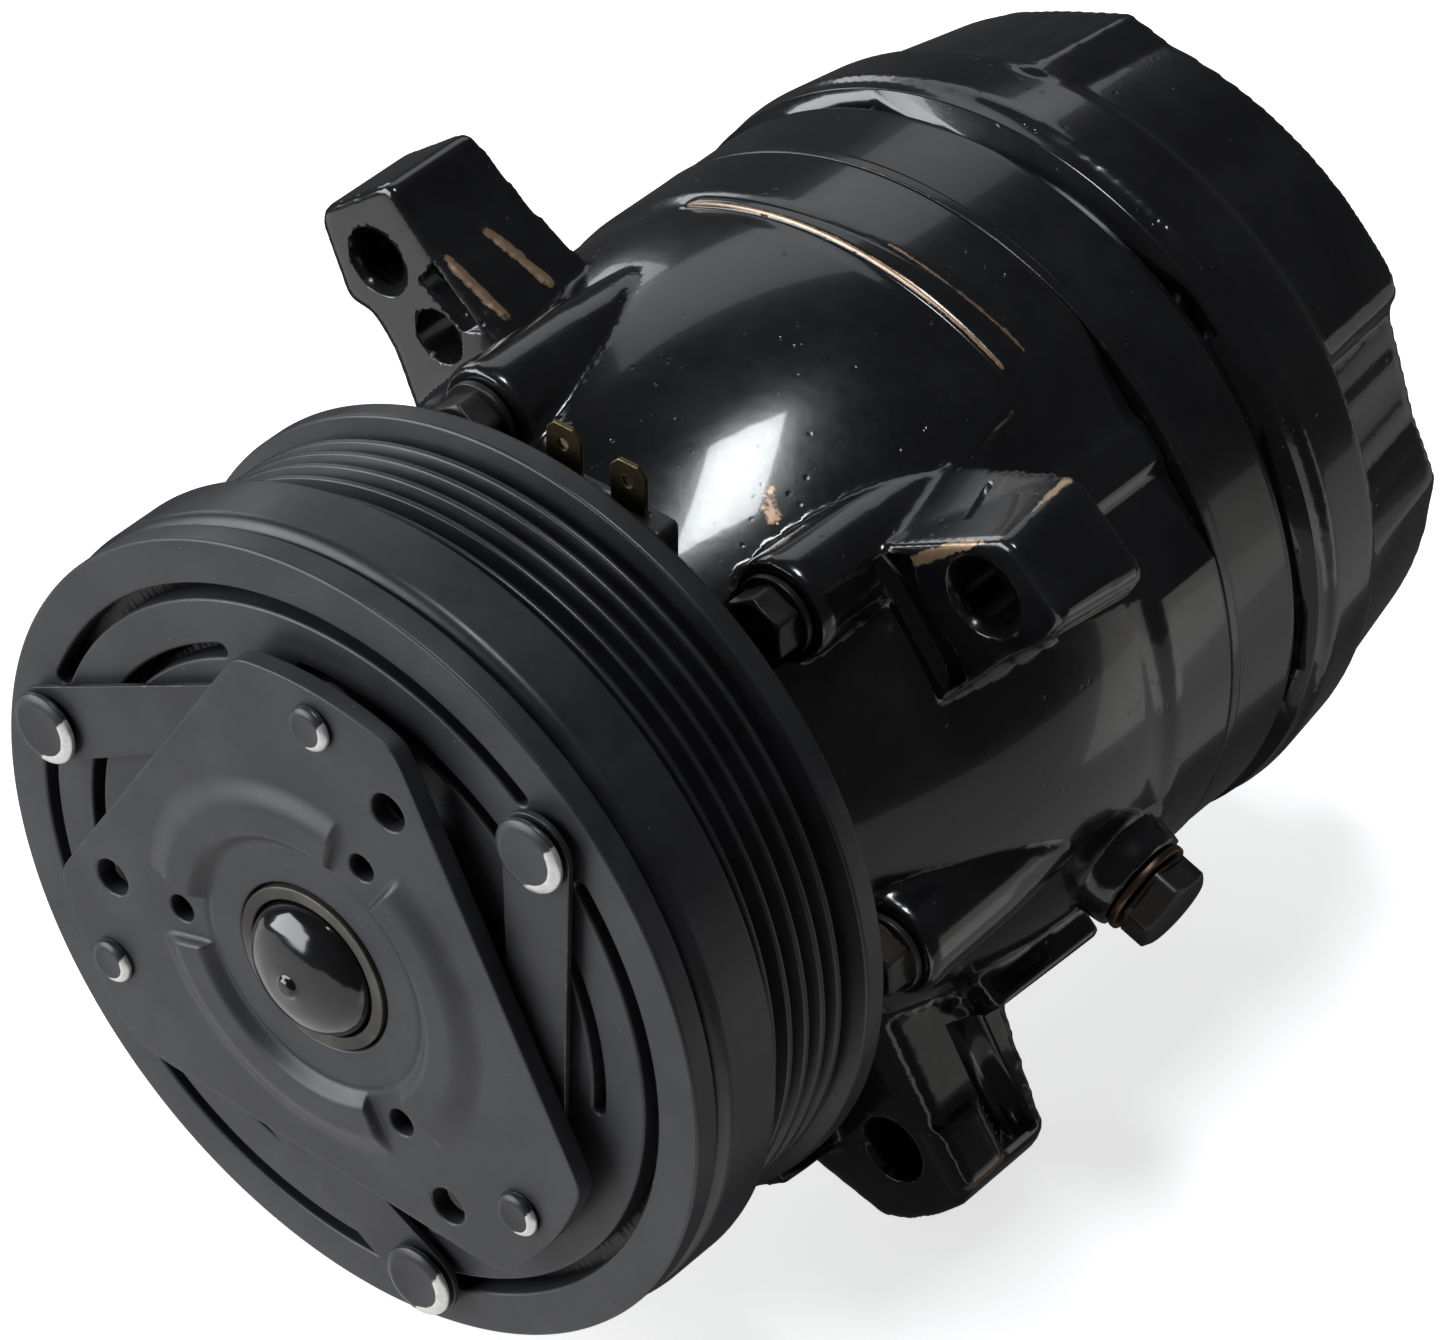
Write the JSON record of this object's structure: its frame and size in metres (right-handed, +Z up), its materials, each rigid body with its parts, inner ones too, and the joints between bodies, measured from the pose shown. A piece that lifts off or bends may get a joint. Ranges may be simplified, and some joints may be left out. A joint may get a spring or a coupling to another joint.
{
  "type": "automotive air conditioning compressor",
  "caption": "Wobble-plate air conditioning compressor with grooved belt pulley, electromagnetic clutch, cast mounting ears and a lobed rear head",
  "frame": {"origin": "centre of the grooved belt track on the shaft axis", "axes": "+Y along the shaft from the clutch to the rear head, +Z up through the coil terminals, +X to the right seen from the clutch"},
  "size_m": [0.1375, 0.2038, 0.1443],
  "materials": {
    "head_paint": "gloss black paint over cast aluminium",
    "block_paint": "satin black paint over cast aluminium",
    "clutch_paint": "satin charcoal paint over pressed steel",
    "pulley_paint": "satin black paint over turned steel",
    "bolt_steel": "black oxide steel",
    "rivet_steel": "painted steel worn to bare metal on its edges",
    "spring_steel": "dark blued spring steel",
    "shaft_steel": "ground steel",
    "bearing_steel": "polished bearing steel",
    "piston_aluminium": "turned aluminium",
    "valve_steel": "zinc plated steel",
    "seal_rubber": "matt black rubber",
    "coil_resin": "moulded black resin",
    "terminal_brass": "dark painted brass with bare edges",
    "cap_plastic": "gloss black plastic"
  },
  "bodies": {
    "body": {"front_head": "head_paint", "cylinder_block": "block_paint", "rear_head": "head_paint", "suction_reed_plate": "valve_steel", "valve_plate": "valve_steel", "head_gasket": "seal_rubber", "body_o_ring": "seal_rubber", "clutch_coil": "coil_resin", "coil_terminal_1": "terminal_brass", "coil_terminal_2": "terminal_brass", "bearing_inner_ring": "bearing_steel", "nose_lock_ring": "spring_steel", "shaft_seal": "seal_rubber", "front_needle_bearing": "bearing_steel", "rear_needle_bearing": "bearing_steel", "thrust_bearing": "bearing_steel", "guide_pin": "shaft_steel", "through_bolt_1": "bolt_steel", "through_bolt_2": "bolt_steel", "through_bolt_3": "bolt_steel", "through_bolt_4": "bolt_steel", "through_bolt_5": "bolt_steel", "through_bolt_6": "bolt_steel", "control_valve": "valve_steel", "valve_snap_ring": "spring_steel", "relief_valve": "valve_steel", "oil_plug": "bolt_steel", "oil_plug_washer": "valve_steel"},
    "pulley": {"pulley_rotor": "pulley_paint", "bearing_outer_ring": "bearing_steel", "rotor_snap_ring": "spring_steel"},
    "bearing_cage": {"bearing_balls": "bearing_steel"},
    "drive_shaft": {"shaft": "shaft_steel", "shaft_key": "shaft_steel", "shaft_nut": "bolt_steel", "dome_cap": "cap_plastic", "hub_plate": "clutch_paint", "hub_sleeve": "bolt_steel", "spherical_sleeve": "bearing_steel", "drive_lug": "shaft_steel", "hub_rivet_1": "rivet_steel", "hub_rivet_2": "rivet_steel", "hub_rivet_3": "rivet_steel", "leaf_spring_1": "spring_steel", "leaf_spring_2": "spring_steel", "leaf_spring_3": "spring_steel"},
    "armature": {"armature_plate": "clutch_paint", "armature_rivet_1": "rivet_steel", "armature_rivet_2": "rivet_steel", "armature_rivet_3": "rivet_steel"},
    "wobbler": {"wobble_plate": "shaft_steel"},
    "guide_slider": {"ball_guide": "bearing_steel"},
    "piston_1_slider": {"piston_1": "piston_aluminium"},
    "piston_2_slider": {"piston_2": "piston_aluminium"},
    "piston_3_slider": {"piston_3": "piston_aluminium"},
    "piston_4_slider": {"piston_4": "piston_aluminium"},
    "piston_5_slider": {"piston_5": "piston_aluminium"}
  },
  "joints": [
    {"name": "pulley_spin", "type": "hinge", "parent": "body", "child": "pulley", "pos_m": [0, 0, 0], "axis": [0, 1, 0], "continuous": true},
    {"name": "cage_spin", "type": "hinge", "parent": "body", "child": "bearing_cage", "pos_m": [0, 0, 0], "axis": [0, 1, 0], "continuous": true},
    {"name": "shaft_spin", "type": "hinge", "parent": "body", "child": "drive_shaft", "pos_m": [0, 0, 0], "axis": [0, 1, 0], "continuous": true},
    {"name": "armature_pull", "type": "slide", "parent": "drive_shaft", "child": "armature", "axis": [0, 1, 0], "range_m": [0, 0.0005], "stiffness_N_per_m": 2000},
    {"name": "wobble_tilt", "type": "hinge", "parent": "body", "child": "wobbler", "pos_m": [0, 0.0567, 0], "axis": [1, 0, 0], "range_deg": [-16, 16]},
    {"name": "guide_slide", "type": "slide", "parent": "body", "child": "guide_slider", "axis": [0, 1, 0], "range_m": [-0.0115, 0.0115]},
    {"name": "piston_1_slide", "type": "slide", "parent": "body", "child": "piston_1_slider", "axis": [0, 1, 0], "range_m": [-0.0087, 0.0087]},
    {"name": "piston_2_slide", "type": "slide", "parent": "body", "child": "piston_2_slider", "axis": [0, 1, 0], "range_m": [-0.0027, 0.0027]},
    {"name": "piston_3_slide", "type": "slide", "parent": "body", "child": "piston_3_slider", "axis": [0, 1, 0], "range_m": [-0.00705, 0.00705]},
    {"name": "piston_4_slide", "type": "slide", "parent": "body", "child": "piston_4_slider", "axis": [0, 1, 0], "range_m": [-0.00705, 0.00705]},
    {"name": "piston_5_slide", "type": "slide", "parent": "body", "child": "piston_5_slider", "axis": [0, 1, 0], "range_m": [-0.0027, 0.0027]}
  ],
  "couplings": [
    {"joint": "cage_spin", "follows": "pulley_spin", "ratio": 0.564},
    {"joint": "guide_slide", "follows": "wobble_tilt", "m_per_rad": 0.041},
    {"joint": "piston_1_slide", "follows": "wobble_tilt", "m_per_rad": -0.031},
    {"joint": "piston_2_slide", "follows": "wobble_tilt", "m_per_rad": -0.00958},
    {"joint": "piston_3_slide", "follows": "wobble_tilt", "m_per_rad": 0.02508},
    {"joint": "piston_4_slide", "follows": "wobble_tilt", "m_per_rad": 0.02508},
    {"joint": "piston_5_slide", "follows": "wobble_tilt", "m_per_rad": -0.00958}
  ]
}
